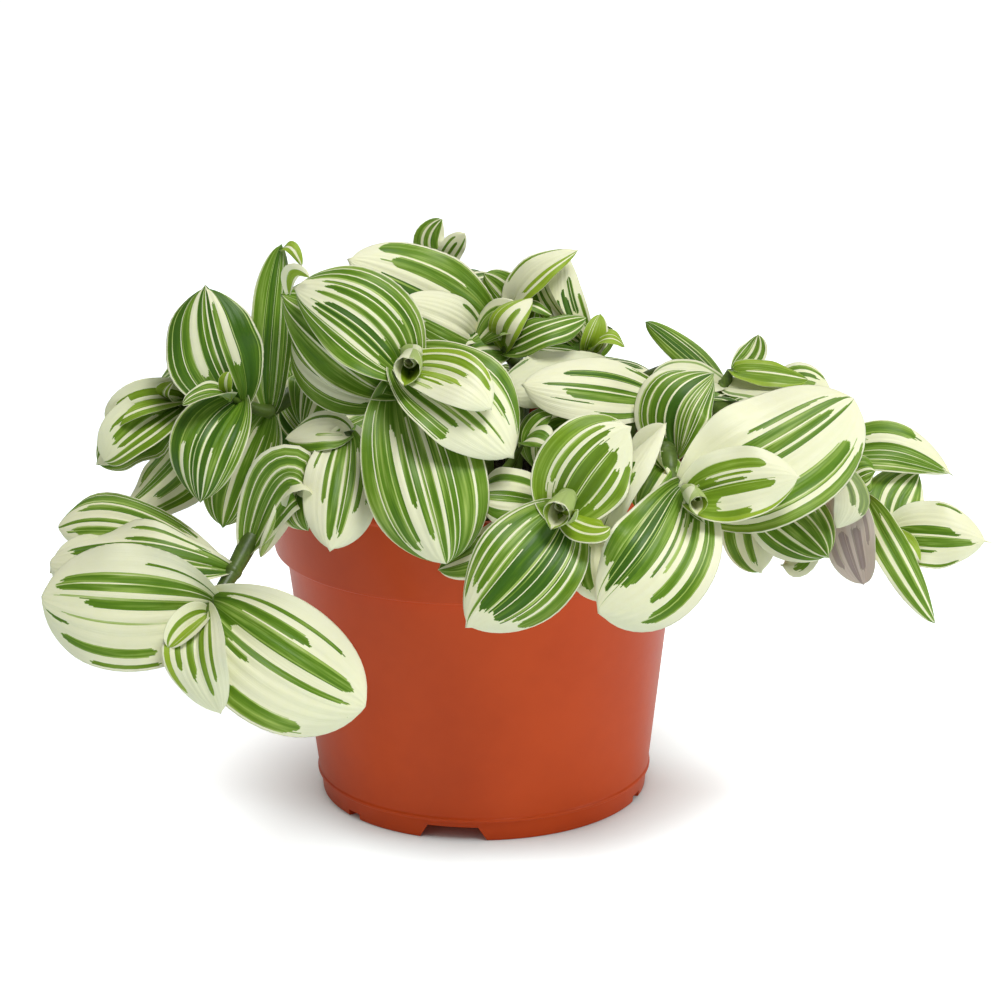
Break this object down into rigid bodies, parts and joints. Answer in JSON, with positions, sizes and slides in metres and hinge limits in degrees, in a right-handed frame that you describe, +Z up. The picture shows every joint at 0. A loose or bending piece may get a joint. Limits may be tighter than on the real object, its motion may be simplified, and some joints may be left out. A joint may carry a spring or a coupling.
{
  "type": "potted tradescantia",
  "caption": "Potted tradescantia: trailing stems of pointed leaves striped green and cream, growing from dark soil in a round tapered plastic pot with a wide rim band.",
  "frame": {"origin": "centre of the pot's foot, on the surface it stands on", "axes": "+Z up; +Y away from the side the picture shows; +X to the right as that side is seen"},
  "size_m": [0.2741, 0.2123, 0.1791],
  "materials": {
    "pot": "satin orange-brown moulded plastic",
    "soil": "dark moist potting mix",
    "foliage": "smooth, softly shining leaves in green and cream stripes"
  },
  "bodies": {
    "root": {"pot": "pot", "soil": "soil", "shoot_low_left": "foliage", "shoot_left_upper": "foliage", "shoot_far_left": "foliage", "shoot_centre": "foliage", "shoot_top": "foliage", "shoot_top_back": "foliage", "shoot_upper_mid": "foliage", "shoot_upper_right": "foliage", "shoot_front": "foliage", "shoot_right_front": "foliage", "shoot_right_upper": "foliage", "shoot_mid_right": "foliage", "shoot_far_right": "foliage", "shoot_right_low": "foliage", "shoot_front_left": "foliage", "shoot_front_low": "foliage", "shoot_inner": "foliage", "shoot_back_right": "foliage", "shoot_back_mid_right": "foliage", "shoot_back": "foliage", "shoot_back_mid_left": "foliage", "shoot_back_left": "foliage", "shoot_crown_right": "foliage", "shoot_crown_left": "foliage"}
  },
  "joints": []
}
